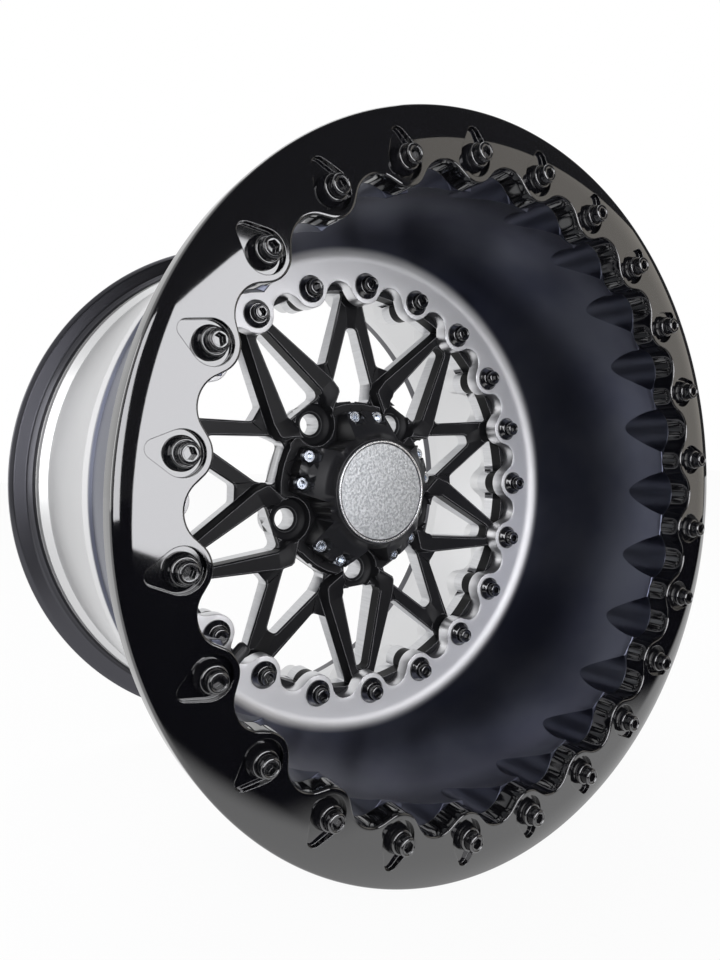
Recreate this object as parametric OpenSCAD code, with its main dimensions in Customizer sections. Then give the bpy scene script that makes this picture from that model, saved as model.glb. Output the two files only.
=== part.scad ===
// Three-piece beadlock drag wheel, 15 x 10.5 in, with a five lug forged centre.
// Frame: origin in the middle of the hub mounting face on the wheel axis,
// +Y towards the vehicle along the axis, +Z up, +X to the right seen from the front.
// Every sub-part is drawn with its axis on local Z, and local Z becomes +Y.
// Local Z is therefore 0 on the mounting face and negative towards the front.

/* [View] */
// Sub-part to draw, or all of them

/* [Clamp ring] */
// Number of clamp bolts
clamp_count = 24; // [20:1:24]
// Bolt circle radius of the clamp bolts
clamp_bolt_circle = 178.2; // [178:0.1:179.4]
// Outer radius of the clamp ring
ring_outer = 203.8; // [202:0.2:206]
// Thickness of the clamp ring at its inner edge
ring_thick = 13.2; // [12:0.2:15]
// Radius of the crown of the front face, in section
ring_crown = 62; // [56:1:70]
// Inner lobe radius round each clamp bolt
ring_lobe = 12.8; // [12.2:0.1:12.9]
// Radius of each scallop between two lobes
ring_scallop = 15.0; // [14.4:0.1:15.2]
// Radius from the axis to the bottom of a scallop
ring_valley = 176; // [175:0.2:176.6]
// Depth of the teardrop pockets
pocket_depth = 3.1; // [2.8:0.1:3.4]
// Radius of the round end of a teardrop pocket
pocket_round = 9.7; // [9.2:0.1:10]
// Radius of the pointed end of a teardrop pocket
pocket_tip = 3.0; // [2.4:0.1:3.6]
// Radius from the axis to the centre of the pointed end
pocket_tip_centre = 190.8; // [189.5:0.1:191.5]

/* [Outer half] */
// Depth from the mouth to the front of the assembly flange
dish_depth = 115.5; // [112:0.5:118]
// Section radius of the dish wall
dish_arc = 120.4; // [119.8:0.1:121]
// Largest inner radius of the dish
dish_belly = 177.6; // [177:0.1:178]
// Fillet where the dish meets the assembly flange
dish_fillet = 9; // [7:0.5:10]
// Outer radius of the bead seat on the outer half
seat_outer = 189; // [188:0.2:190]
// Outer radius of the outer half behind the bead seat
outer_wall = 184.8; // [184.2:0.2:185.4]
// Outer radius of the joint rim
joint_rim = 186.2; // [185.8:0.2:187]

/* [Assembly flange] */
// Number of assembly bolts
assembly_count = 20; // [20:1:20]
// Bolt circle radius of the assembly bolts
assembly_bolt_circle = 140; // [139.6:0.1:140.4]
// Thickness of the outer half's flange
flange_thick = 10; // [9:0.5:12]
// Lobe radius round each assembly bolt
flange_lobe = 12; // [11.5:0.1:12.2]
// Scallop radius between two flange lobes
flange_scallop = 10.6; // [10:0.1:10.8]
// Radius from the axis to the bottom of a flange scallop
flange_valley = 142.5; // [142:0.1:143]

/* [Centre] */
// Thickness of the centre from the spoke faces to the mounting face
centre_thick = 29; // [27:0.5:32]
// Thickness of the centre's bolting ring
bolting_ring = 19; // [18:0.5:20]
// Outer radius of the bolting ring
centre_outer = 153; // [151:0.5:154]
// Inner radius of the bolting ring
centre_inner = 138; // [137.4:0.1:138.4]
// Radius of the nose on the ring at each bolt
nose_radius = 9; // [8.6:0.1:9.4]
// Step from the main spoke faces down to the secondary spokes
secondary_step = 9; // [7:0.5:10]
// Step from the main spoke faces down to the hub frame
frame_step = 4; // [3:0.5:5]
// Outer radius of the hub frame
frame_radius = 61.8; // [61:0.2:62.6]
// Radius of the hub bore
hub_bore = 35.5; // [34:0.5:37]
// Corner radius of the windows
window_corner = 3.6; // [3:0.2:4]

/* [Lugs] */
// Number of lug holes
lug_count = 5; // [5:1:5]
// Lug circle radius
lug_circle = 57.15; // [57.15:0.01:57.15]
// Counterbore radius at each lug
lug_counterbore = 14.3; // [13.8:0.1:14.6]
// Depth of the lug seat below the spoke faces
lug_seat_depth = 9; // [8:0.5:10]
// Large radius of the conical lug seat
lug_seat = 10.6; // [10:0.1:11]
// Radius of the lug hole
lug_hole = 7.2; // [6.5:0.1:7.8]

/* [Hub cap] */
// Radius of the cap disc
cap_disc_radius = 34.6; // [34:0.1:34.8]
// Thickness of the cap disc
cap_disc_thick = 4; // [3.6:0.1:4.4]
// Height of the cap body in front of the hub frame
cap_height = 29.5; // [29:0.5:31]
// Outer radius of the cap arms
cap_arm_radius = 55; // [54.6:0.1:55.4]
// Height of the cap arms at their ends
cap_arm_height = 11.5; // [11:0.1:12]
// Radius of the clearance that the cap leaves at each lug
cap_lug_clear = 17; // [16.6:0.1:17.4]
// Radius from the axis to the cap screws
cap_screw_circle = 51.5; // [51:0.1:52]
// Angle from the middle of an arm to each of its screws
cap_screw_angle = 10.4; // [10:0.1:10.8]

/* [Fasteners] */
// Head radius of the clamp bolts
clamp_head = 4.75; // [4.5:0.05:4.9]
// Shank radius of the clamp bolts
clamp_shank = 3.1; // [2.9:0.05:3.2]
// Head height of the clamp bolts
clamp_head_height = 6.3; // [6:0.1:6.5]
// Outer radius of the cup washers under the clamp bolts
clamp_washer = 7.4; // [7.1:0.1:7.6]
// Distance the clamp bolt heads stand above their pocket floors
clamp_stand = 11.4; // [11:0.1:12]
// Head radius of the assembly bolts
assembly_head = 5; // [4.8:0.05:5.1]
// Shank radius of the assembly bolts
assembly_shank = 3.1; // [2.9:0.05:3.2]
// Head height of the assembly bolts
assembly_head_height = 6; // [5.8:0.1:6.2]
// Outer radius of the cup washers under the assembly bolts
assembly_washer = 8.8; // [8.4:0.1:9]
// Distance the assembly bolt heads stand above the flange
assembly_stand = 8.6; // [8.2:0.1:9]
// Socket size across flats in the clamp and assembly bolts
socket_flats = 5; // [4.6:0.1:5.2]
// Radial clearance of every bolt in the holes that it passes through
bolt_clearance = 0.4; // [0.3:0.05:0.5]
// Radial gap left between an internal and an external thread
thread_gap = 0.06; // [0.04:0.01:0.1]
// Wall of the threaded inserts
insert_wall = 1.5; // [1.3:0.1:1.6]

/* [Inner half] */
// Reach of the inner half behind the mounting face
inner_reach = 132; // [128:1:140]
// Outer radius of the inner half
inner_wall_outer = 183; // [182:0.2:183.6]
// Wall thickness of the inner half
inner_wall = 5; // [4.5:0.1:6]
// Outer radius of the rear lip
lip_radius = 204.7; // [203:0.1:206]
// Thickness of the inner half's flange
inner_flange = 12; // [11.5:0.1:13]

/* [Valve] */
// Angle of the valve clockwise from the top, seen from the front
valve_angle = 228; // [226:1:231]
// Distance of the valve axis in front of the assembly flange
valve_offset = 11; // [10.6:0.1:12]
// Radius of the valve stem
valve_stem_radius = 3.9; // [3.7:0.05:4]
// Outer radius of the valve cap
valve_cap_radius = 4.4; // [4.3:0.05:4.6]
// Radius from the axis to the closed end of the valve cap
valve_cap_end = 133; // [131:0.5:135]

/* [Hidden] */
$fa = 4;
$fs = 0.6;
eps = 0.02;

// Planes along the axis, from the mounting face forwards
z_face = -centre_thick;
z_frame = z_face + frame_step;
z_secondary = z_face + secondary_step;
z_lug_seat = z_face + lug_seat_depth;
z_ring_back = z_face + bolting_ring;
z_flange = z_face - flange_thick;
z_mouth = z_flange - dish_depth;
z_ring_front = z_mouth - ring_thick;
z_pocket = z_ring_front + pocket_depth;
z_clamp_top = z_pocket - clamp_stand;
z_assembly_top = z_flange - assembly_stand;
z_inner_flange_back = z_ring_back + inner_flange;

clamp_step = 360 / clamp_count;
assembly_step = 360 / assembly_count;
lug_step = 360 / lug_count;
main_angle = -36;

// Angles clockwise from the top become turns about the local axis
function from_top(a) = a - 90;

module to_row() {
    rotate([-90, 0, 0]) children();
}

module spokes_at(first, count) {
    for (i = [0 : count - 1]) rotate([0, 0, from_top(first + i * 360 / count)]) children();
}

// Rounds the corners of a convex or concave polygon with short chords
function unit(v) = v / norm(v);
function corner_arc(a, b, c, r, n) =
    let (u = unit(a - b), w = unit(c - b),
         half = acos(min(1, max(-1, u * w))) / 2,
         d = r / tan(half),
         o = b + unit(u + w) * (r / sin(half)),
         p = b + u * d - o, q = b + w * d - o,
         a0 = atan2(p[1], p[0]), turn = atan2(p[0] * q[1] - p[1] * q[0], p * q))
    [for (i = [0 : n]) o + r * [cos(a0 + turn * i / n), sin(a0 + turn * i / n)]];
function rounded(pts, radii, n = 6) =
    [for (i = [0 : len(pts) - 1])
        let (a = pts[(i + len(pts) - 1) % len(pts)], b = pts[i], c = pts[(i + 1) % len(pts)])
        for (p = (radii[i] > 0 ? corner_arc(a, b, c, radii[i], n) : [b])) p];

// The wave-shaped opening of a bolted ring: an inner circle, scallops, and lobes round the bolts
module wave_opening(count, circle_radius, lobe, scallop, valley) {
    step = 360 / count;
    centre = valley - scallop;
    // radius at which lobe and scallop come closest
    run = [centre * cos(step / 2) - circle_radius, centre * sin(step / 2)];
    meet = [circle_radius, 0] + unit(run) * (lobe + (norm(run) - lobe - scallop) / 2);
    difference() {
        union() {
            circle(r = norm(meet));
            for (i = [0 : count - 1]) rotate((i + 0.5) * step) translate([centre, 0]) circle(r = scallop);
        }
        for (i = [0 : count - 1]) rotate(i * step) translate([circle_radius, 0]) circle(r = lobe);
    }
}

module clamp_wave() {
    rotate(from_top(main_angle))
        wave_opening(clamp_count, clamp_bolt_circle, ring_lobe, ring_scallop, ring_valley);
}

module flange_wave() {
    rotate(from_top(main_angle))
        wave_opening(assembly_count, assembly_bolt_circle, flange_lobe, flange_scallop, flange_valley);
}

// A ring with outer radius r between two planes
module slab(r, z0, z1) {
    translate([0, 0, z0]) cylinder(r = r, h = z1 - z0);
}

module hex_prism(flats, h) {
    cylinder(r = flats / sqrt(3), h = h, $fn = 6);
}

// Clamp ring
crown_start = clamp_bolt_circle - 2;
crown_centre_z = z_ring_front + ring_crown;
rim_round = 2;
rim_front_r = ring_outer - rim_round;
rim_front_z = crown_centre_z - sqrt(pow(ring_crown - rim_round, 2) - pow(rim_front_r - crown_start, 2));
lip_back = z_mouth + 2.6;
lip_inner = seat_outer + 2;

module ring_section() {
    difference() {
        union() {
            difference() {
                translate([150, z_ring_front]) square([ring_outer - 150, ring_thick]);
                difference() {
                    translate([crown_start, z_ring_front - 1]) square([60, rim_front_z - z_ring_front + 1.02]);
                    translate([crown_start, crown_centre_z]) circle(r = ring_crown - eps, $fa = 1);
                    translate([rim_front_r, rim_front_z]) circle(r = rim_round);
                }
            }
            polygon([[lip_inner, z_mouth - 1], [ring_outer, z_mouth - 1], [ring_outer, lip_back - 1],
                [ring_outer - 1, lip_back], [lip_inner + 6, lip_back], [lip_inner, z_mouth + 0.6]]);
        }
        // corner in front of the rim round
        difference() {
            translate([rim_front_r, z_ring_front - 1])
                square([rim_round + 1, rim_front_z - z_ring_front + 1]);
            translate([rim_front_r, rim_front_z]) circle(r = rim_round);
        }
    }
}

// Points where the straight sides of a pocket touch its two circles
pocket_slope = acos((pocket_round - pocket_tip) / (pocket_tip_centre - clamp_bolt_circle));
function touch(x, r, s) = [x + r * cos(pocket_slope), s * r * sin(pocket_slope)];

module pocket_outline() {
    translate([clamp_bolt_circle, 0]) circle(r = pocket_round);
    translate([pocket_tip_centre, 0]) circle(r = pocket_tip);
    polygon([touch(clamp_bolt_circle, pocket_round - eps, 1), touch(pocket_tip_centre, pocket_tip - eps, 1),
        [pocket_tip_centre, 0], touch(pocket_tip_centre, pocket_tip - eps, -1),
        touch(clamp_bolt_circle, pocket_round - eps, -1), [clamp_bolt_circle, 0]]);
}

module clamp_ring() {
    color([0.03, 0.03, 0.035]) to_row() difference() {
        rotate_extrude($fn = 240) ring_section();
        translate([0, 0, z_ring_front - 5]) linear_extrude(ring_thick + 10) clamp_wave();
        spokes_at(main_angle, clamp_count) {
            translate([0, 0, z_ring_front - 3]) linear_extrude(pocket_depth + 3) pocket_outline();
            translate([clamp_bolt_circle, 0, z_ring_front])
                cylinder(r = clamp_shank + bolt_clearance, h = ring_thick + 5);
        }
    }
}

// Cup washer with its base on z = 0, standing towards -z
module cup_washer(outer, head, bolt_head, stand, shank) {
    base = 1.1;
    top = stand - bolt_head + 1.4;
    difference() {
        rotate_extrude() intersection() {
            polygon([[shank + bolt_clearance, 0], [outer, 0], [outer, -base],
                [head + 1.6, -top], [shank + bolt_clearance, -top]]);
            translate([0, outer * 0.35 - base]) circle(r = norm([outer, outer * 0.35]) + 0.01);
        }
        translate([0, 0, -top - 1]) cylinder(r = head + 0.25, h = top + 1 - (stand - bolt_head));
    }
}

// Socket head bolt with its head top on z = 0, shank towards +z
module socket_bolt(head, head_height, shank, length) {
    chamfer = 0.7;
    difference() {
        rotate_extrude() polygon([[0, 0], [head - chamfer, 0], [head, chamfer], [head, head_height],
            [shank, head_height], [shank, head_height + length - 0.8],
            [shank - 0.8, head_height + length], [0, head_height + length]]);
        translate([0, 0, -1]) hex_prism(socket_flats, 4.2);
        translate([0, 0, -0.01]) cylinder(r1 = socket_flats / 2 + 0.7, r2 = socket_flats / 2, h = 0.7);
    }
}

mouth_insert_depth = 18;
clamp_length = z_mouth + mouth_insert_depth - 1 - (z_clamp_top + clamp_head_height);

module clamp_bolts() {
    color([0.08, 0.08, 0.085]) to_row() spokes_at(main_angle, clamp_count)
        translate([clamp_bolt_circle, 0, z_clamp_top])
            socket_bolt(clamp_head, clamp_head_height, clamp_shank, clamp_length);
}

module clamp_washers() {
    color([0.05, 0.05, 0.055]) to_row() spokes_at(main_angle, clamp_count)
        translate([clamp_bolt_circle, 0, z_pocket])
            cup_washer(clamp_washer, clamp_head, clamp_head_height, clamp_stand, clamp_shank);
}

// Threaded insert from z = 0 down to its length along +z
module insert(shank, length) {
    difference() {
        cylinder(r = shank + insert_wall, h = length);
        translate([0, 0, -1]) cylinder(r = shank + thread_gap, h = length + 2);
    }
}

module mouth_inserts() {
    color([0.55, 0.55, 0.56]) to_row() spokes_at(main_angle, clamp_count)
        translate([clamp_bolt_circle, 0, z_mouth]) insert(clamp_shank, mouth_insert_depth);
}

// Outer half
dish_centre_r = dish_belly - dish_arc;
dish_centre_z = z_mouth + 53.3;
fillet_z = z_flange - dish_fillet;
fillet_r = dish_centre_r + sqrt(pow(dish_arc - dish_fillet, 2) - pow(fillet_z - dish_centre_z, 2));
fillet_dir = unit([fillet_r - dish_centre_r, fillet_z - dish_centre_z]);

module dish_section() {
    difference() {
        intersection() {
            translate([dish_centre_r, dish_centre_z]) circle(r = dish_arc, $fa = 0.7);
            translate([0, z_mouth - 1]) square([220, dish_depth + 1]);
        }
        difference() {
            polygon([[fillet_r, fillet_z], [fillet_r, z_flange + 1], [fillet_r + 40, z_flange + 1],
                [fillet_r, fillet_z] + fillet_dir * 40]);
            translate([fillet_r, fillet_z]) circle(r = dish_fillet - eps);
        }
    }
}

hump_z = z_mouth + 30;
valve_z = z_flange - valve_offset;
// Seats of the valve in the wall of the dish, as radii from the axis
valve_inner_seat = 167;
valve_outer_seat = 173;
valve_grip = valve_stem_radius + 0.15;

module on_valve_axis() {
    rotate([0, 0, from_top(valve_angle)]) translate([0, 0, valve_z]) rotate([0, 90, 0]) children();
}

module outer_half_section() {
    polygon([[120, z_mouth], [seat_outer - 1.5, z_mouth], [seat_outer - 0.6, z_mouth + 2],
        [seat_outer, hump_z - 4], [seat_outer, hump_z],
        [outer_wall, hump_z + 7], [outer_wall, z_flange - 8], [joint_rim, z_flange - 6],
        [joint_rim, z_face - 0.6], [joint_rim - 0.6, z_face], [120, z_face]]);
    translate([seat_outer - 1.2, hump_z]) circle(r = 3);
}

seal_radius = 168;
seal_section = 1.8;
seal_depth = 2.7;

module outer_barrel() {
    color([0.06, 0.065, 0.085]) to_row() difference() {
        rotate_extrude($fn = 240) difference() {
            outer_half_section();
            dish_section();
            translate([seal_radius - seal_section - 0.1, z_face - seal_depth])
                square([2 * seal_section + 0.2, seal_depth + 1]);
        }
        // mouth scallops run out in the dish
        translate([0, 0, z_mouth - 1]) linear_extrude(dish_depth * 0.6) clamp_wave();
        translate([0, 0, z_flange - 1]) linear_extrude(flange_thick + 2) flange_wave();
        spokes_at(main_angle, clamp_count) translate([clamp_bolt_circle, 0, z_mouth - 1])
            cylinder(r = clamp_shank + insert_wall, h = mouth_insert_depth + 1);
        spokes_at(main_angle, assembly_count) translate([assembly_bolt_circle, 0, z_flange - 1])
            cylinder(r = assembly_shank + bolt_clearance, h = flange_thick + 2);
        on_valve_axis() {
            translate([0, 0, 140]) cylinder(r = 7.4, h = valve_inner_seat - 140);
            translate([0, 0, 140]) cylinder(r = valve_grip, h = 60);
            translate([0, 0, valve_outer_seat]) cylinder(r = 7, h = 30);
        }
    }
}

// Inner half
z_lip = inner_reach;
bead_z = z_lip - 22;
inner_wall_inner = inner_wall_outer - inner_wall;

module inner_half_section() {
    difference() {
        union() {
            polygon([[centre_outer, z_face], [inner_wall_outer - 0.8, z_face], [inner_wall_outer, z_face + 0.8],
                [inner_wall_outer, bead_z - 14], [inner_wall_outer + 5, bead_z - 2], [inner_wall_outer + 7, bead_z + 8],
                [inner_wall_outer + 10, bead_z + 13], [lip_radius - 3, bead_z + 14.5], [lip_radius, bead_z + 17],
                [lip_radius, z_lip - 2], [lip_radius - 2, z_lip], [lip_radius - 5, z_lip],
                [inner_wall_inner + 9, z_lip - 5.5], [inner_wall_inner + 5, z_lip - 8],
                [inner_wall_inner + 3.5, bead_z + 2], [inner_wall_inner, bead_z - 12],
                [inner_wall_inner, z_inner_flange_back + 8], [inner_wall_inner - 8, z_inner_flange_back],
                [120, z_inner_flange_back], [120, z_ring_back], [centre_outer, z_ring_back]]);
            translate([inner_wall_outer + 3.4, bead_z - 4]) circle(r = 3.4);
        }
    }
}

module inner_flange_wave() {
    rotate(from_top(main_angle))
        wave_opening(assembly_count, assembly_bolt_circle, flange_lobe - 3.5, flange_scallop + 2.4,
            flange_valley + 4.5);
}

module inner_barrel() {
    color([0.72, 0.73, 0.74]) to_row() difference() {
        rotate_extrude($fn = 240) inner_half_section();
        translate([0, 0, z_ring_back - 1]) linear_extrude(inner_flange + 2) inner_flange_wave();
        spokes_at(main_angle, assembly_count) translate([assembly_bolt_circle, 0, z_ring_back - 1])
            cylinder(r = assembly_shank + insert_wall, h = inner_flange + 2);
    }
}

module barrel_seal() {
    color([0.02, 0.02, 0.02]) to_row() rotate_extrude($fn = 240)
        translate([seal_radius, z_face - seal_depth / 2])
            intersection() {
                circle(r = seal_section);
                square([4 * seal_section, seal_depth], center = true);
            }
}

// Centre. Spoke outlines in the frame of a spoke: x outwards from the axis, y sideways
function both(p) = concat(p, [for (i = [len(p) - 1 : -1 : 0]) [p[i][0], -p[i][1]]]);

leg_tip_x = centre_inner + 4;
leg_outer = [[131, 10.5], [76, 28], [67, 28.8], [64.5, 27.8], [56, 14]];
narrow_window = [[127.6, 4.2], [74, 15.6], [69.6, 14.6]];
secondary_outer = [[131, 9.3], [60, 30]];
kite_apex = 114.5;
kite_half = 15.4;
kite_wide = 76;

module main_leg_outline() {
    polygon(both(concat([[leg_tip_x, 7.2]], leg_outer, [[46, 7]])));
}

module narrow_window_outline() {
    polygon(rounded(both(narrow_window), [window_corner, 0, window_corner, window_corner, 0, window_corner]));
}

// Kite window below a secondary spoke
module kite_window_outline() {
    polygon(rounded([[frame_radius, -14.2], [69.6, -15.2], [kite_wide, -kite_half], [kite_apex, -3.6],
        [kite_apex, 3.6], [kite_wide, kite_half], [69.6, 15.2], [frame_radius, 14.2]],
        [window_corner, 0, 2, window_corner, window_corner, 2, 0, window_corner]));
}

// Window between a main leg and a secondary leg, drawn in the frame of the main spoke
function turned(p, a) = [p[0] * cos(a) - p[1] * sin(a), p[0] * sin(a) + p[1] * cos(a)];
tri_near = turned([131.5, 9.3], 0);
tri_far = turned([131.5, -9.3], 36);
tri_top = centre_inner + 6;

module tri_window_outline() {
    near_in = [88.8, 23.9];
    far_in = turned([88.8, -21.6], 36);
    difference() {
        intersection() {
            polygon(rounded([near_in, turned([136.5, 9.2], 0) + [0, 0.6], turned([tri_top, 14], 0),
                turned([tri_top, -14], 36), turned([136.5, -8.4], 36), far_in],
                [3, 0, 0, 0, 0, 3]));
            circle(r = centre_inner);
        }
        for (k = [0 : 2]) rotate(k * assembly_step) translate([centre_inner, 0]) circle(r = nose_radius);
    }
}

module centre_body() {
    rotate_extrude($fn = 240) polygon([[hub_bore, z_face], [centre_outer, z_face],
        [centre_outer, z_ring_back], [centre_inner - 8, z_ring_back],
        [68, -6], [hub_bore, -6]]);
    // mounting pad
    slab(frame_radius - 2, -7, 0);
    spokes_at(main_angle, lug_count) translate([lug_circle, 0, -7]) cylinder(r = 12, h = 7);
}

cap_screw_depth = 9;
cap_screw_shank = 2.4;

module at_cap_screws() {
    spokes_at(main_angle + lug_step / 2, lug_count) for (s = [-1, 1]) rotate([0, 0, s * cap_screw_angle])
        translate([cap_screw_circle, 0, 0]) children();
}

module wheel_centre() {
    color([0.05, 0.05, 0.055]) to_row() difference() {
        centre_body();
        translate([0, 0, z_face - 1]) cylinder(r = hub_bore, h = centre_thick + 2);
        // through windows
        translate([0, 0, z_face - 1]) linear_extrude(centre_thick + 2) {
            spokes_flat(main_angle) narrow_window_outline();
            spokes_flat(main_angle + lug_step / 2) kite_window_outline();
            spokes_flat(main_angle) tri_window_outline();
            spokes_flat(main_angle) mirror([0, 1]) tri_window_outline();
        }
        // secondary spokes and hub frame lie below the main spoke faces
        translate([0, 0, z_face - 1]) linear_extrude(secondary_step + 1) difference() {
            circle(r = centre_inner);
            circle(r = frame_radius);
            spokes_flat(main_angle) main_leg_outline();
            rotate(from_top(main_angle)) for (k = [0 : assembly_count - 1]) rotate(k * assembly_step)
                translate([centre_inner, 0]) circle(r = nose_radius);
        }
        translate([0, 0, z_face - 1]) linear_extrude(frame_step + 1) difference() {
            circle(r = frame_radius + 0.01);
            spokes_flat(main_angle) main_leg_outline();
        }
        // floor between the legs of a main spoke
        translate([0, 0, z_face - 1]) linear_extrude(frame_step + 3) spokes_flat(main_angle)
            polygon([[lug_circle, -10], [68, -14.9], [80, -14.2], [80, 14.2], [68, 14.9], [lug_circle, 10]]);
        spokes_at(main_angle, lug_count) translate([lug_circle, 0, 0]) {
            translate([0, 0, z_face - 1]) cylinder(r = lug_counterbore, h = lug_seat_depth + 1);
            translate([0, 0, z_lug_seat - 0.01]) cylinder(r1 = lug_seat, r2 = lug_hole, h = 3.6);
            translate([0, 0, z_face]) cylinder(r = lug_hole, h = centre_thick + 1);
        }
        spokes_at(main_angle, assembly_count) translate([assembly_bolt_circle, 0, z_face - 1])
            cylinder(r = assembly_shank + bolt_clearance, h = centre_thick + 2);
        at_cap_screws() translate([0, 0, z_frame - 1])
            cylinder(r = cap_screw_shank + thread_gap, h = cap_screw_depth + 2);
    }
}

module spokes_flat(first) {
    for (i = [0 : lug_count - 1]) rotate(from_top(first + i * lug_step)) children();
}

// Assembly hardware
assembly_length = z_ring_back + inner_flange - 1.5 - (z_assembly_top + assembly_head_height);

module assembly_bolts() {
    color([0.08, 0.08, 0.085]) to_row() spokes_at(main_angle, assembly_count)
        translate([assembly_bolt_circle, 0, z_assembly_top])
            socket_bolt(assembly_head, assembly_head_height, assembly_shank, assembly_length);
}

module assembly_washers() {
    color([0.05, 0.05, 0.055]) to_row() spokes_at(main_angle, assembly_count)
        translate([assembly_bolt_circle, 0, z_flange])
            cup_washer(assembly_washer, assembly_head, assembly_head_height, assembly_stand, assembly_shank);
}

module flange_inserts() {
    color([0.55, 0.55, 0.56]) to_row() spokes_at(main_angle, assembly_count)
        translate([assembly_bolt_circle, 0, z_ring_back]) insert(assembly_shank, inner_flange);
}

// Hub cap
z_cap_top = z_frame - cap_height;
z_arm_end = z_frame - cap_arm_height;
cap_rim = cap_disc_radius + 1.6;
disc_bed = 2.6;
spigot = cap_disc_radius - 4;
spigot_depth = 5;
cap_floor = z_cap_top + disc_bed + spigot_depth + 3;
cap_screw_head = 4.25;
cap_screw_height = 5;
cap_screw_floor = z_frame - 7.2;
groove = 1.2;

module cap_outline() {
    intersection() {
        circle(r = cap_arm_radius);
        difference() {
            union() {
                circle(r = cap_rim + 3);
                spokes_flat(main_angle + lug_step / 2)
                    polygon([[30, -17.6], [46, -16.4], [60, -14.6], [60, 14.6], [46, 16.4], [30, 17.6]]);
            }
            spokes_flat(main_angle) translate([lug_circle, 0]) circle(r = cap_lug_clear);
        }
    }
}

module hub_cap_body() {
    color([0.05, 0.05, 0.055]) to_row() difference() {
        intersection() {
            rotate_extrude($fn = 180) polygon([[0, z_cap_top], [cap_rim - 0.6, z_cap_top],
                [cap_rim, z_cap_top + 0.6], [cap_rim + 0.4, z_cap_top + 2],
                [cap_arm_radius, z_arm_end], [cap_arm_radius, z_frame], [0, z_frame]]);
            translate([0, 0, z_cap_top - 1]) linear_extrude(cap_height + 2) cap_outline();
        }
        // bed and socket of the disc
        slab(cap_disc_radius + 0.1, z_cap_top - 1, z_cap_top + disc_bed);
        slab(spigot + 0.6, z_cap_top, z_cap_top + disc_bed + spigot_depth + 0.4);
        // room for the hub behind it
        slab(30, cap_floor, z_frame + 1);
        at_cap_screws() {
            translate([0, 0, z_cap_top]) cylinder(r = cap_screw_head + 0.8, h = cap_screw_floor - z_cap_top);
            translate([0, 0, cap_screw_floor - 1]) cylinder(r = cap_screw_shank + bolt_clearance, h = 20);
            // run-out of the pocket towards the disc
            translate([0, 0, cap_screw_floor]) rotate([0, -25, 0]) translate([0, 0, -40])
                cylinder(r = cap_screw_head + 0.7, h = 38.2);
        }
    }
}

module hub_cap_disc() {
    color([0.75, 0.76, 0.77]) to_row() {
        difference() {
            rotate_extrude($fn = 180) polygon([[0, z_cap_top + disc_bed - cap_disc_thick + 0.7],
                [cap_disc_radius - 2, z_cap_top + disc_bed - cap_disc_thick + 0.7],
                [cap_disc_radius - 1.4, z_cap_top + disc_bed - cap_disc_thick],
                [cap_disc_radius - 0.5, z_cap_top + disc_bed - cap_disc_thick],
                [cap_disc_radius, z_cap_top + disc_bed - cap_disc_thick + 0.5],
                [cap_disc_radius, z_cap_top + disc_bed], [spigot, z_cap_top + disc_bed],
                [spigot, z_cap_top + disc_bed + spigot_depth - 0.5],
                [spigot - 0.5, z_cap_top + disc_bed + spigot_depth],
                [0, z_cap_top + disc_bed + spigot_depth]]);
            rotate_extrude($fn = 180) translate([spigot - groove, z_cap_top + disc_bed + 1.6])
                square([5, 1.9]);
        }
    }
}

module disc_seal() {
    color([0.02, 0.02, 0.02]) to_row() rotate_extrude($fn = 180)
        translate([spigot - groove, z_cap_top + disc_bed + 1.6]) intersection() {
            translate([0.9, 0.95]) circle(r = 1.05);
            square([groove + 0.6, 1.9]);
        }
}

module hub_cap_screws() {
    color([0.78, 0.8, 0.84]) to_row() at_cap_screws() translate([0, 0, cap_screw_floor - cap_screw_height])
        difference() {
            rotate_extrude() polygon([[0, 0], [cap_screw_head - 0.5, 0], [cap_screw_head, 0.5],
                [cap_screw_head, cap_screw_height], [cap_screw_shank, cap_screw_height],
                [cap_screw_shank, cap_screw_height + 7.2 + cap_screw_depth - 0.5],
                [0, cap_screw_height + 7.2 + cap_screw_depth - 0.5]]);
            translate([0, 0, -1]) hex_prism(4, 3.8);
        }
}

// Valve. Local z along its axis is the radius from the wheel axis
valve_nut_thick = 5;
valve_washer_thick = 1.5;
valve_seal_thick = 2.4;
valve_tip = valve_cap_end + 3;
valve_bore = 1.9;
cap_wall_end = valve_tip + 10.5;

module valve_stem() {
    color([0.1, 0.1, 0.105]) to_row() on_valve_axis() difference() {
        union() {
            translate([0, 0, valve_tip + 9]) cylinder(r = valve_stem_radius,
                h = valve_outer_seat + valve_seal_thick - valve_tip - 9 + 0.5);
            translate([0, 0, valve_tip]) cylinder(r = valve_stem_radius - 0.5, h = 10);
            translate([0, 0, valve_outer_seat + valve_seal_thick]) cylinder(r = 6.2, h = 2);
        }
        translate([0, 0, valve_tip - 1]) cylinder(r = valve_bore, h = 60);
    }
}

module valve_seal() {
    color([0.02, 0.02, 0.02]) to_row() on_valve_axis() difference() {
        translate([0, 0, valve_outer_seat]) cylinder(r = 6.4, h = valve_seal_thick);
        translate([0, 0, valve_outer_seat - 1]) cylinder(r = valve_stem_radius, h = valve_seal_thick + 2);
    }
}

module valve_washer() {
    color([0.1, 0.1, 0.105]) to_row() on_valve_axis() difference() {
        translate([0, 0, valve_inner_seat - valve_washer_thick]) cylinder(r = 6.8, h = valve_washer_thick);
        translate([0, 0, valve_inner_seat - 5]) cylinder(r = valve_grip, h = 10);
    }
}

module valve_nut() {
    color([0.1, 0.1, 0.105]) to_row() on_valve_axis() difference() {
        translate([0, 0, valve_inner_seat - valve_washer_thick - valve_nut_thick])
            hex_prism(11, valve_nut_thick);
        translate([0, 0, valve_inner_seat - 15]) cylinder(r = valve_stem_radius + thread_gap, h = 20);
    }
}

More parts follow.
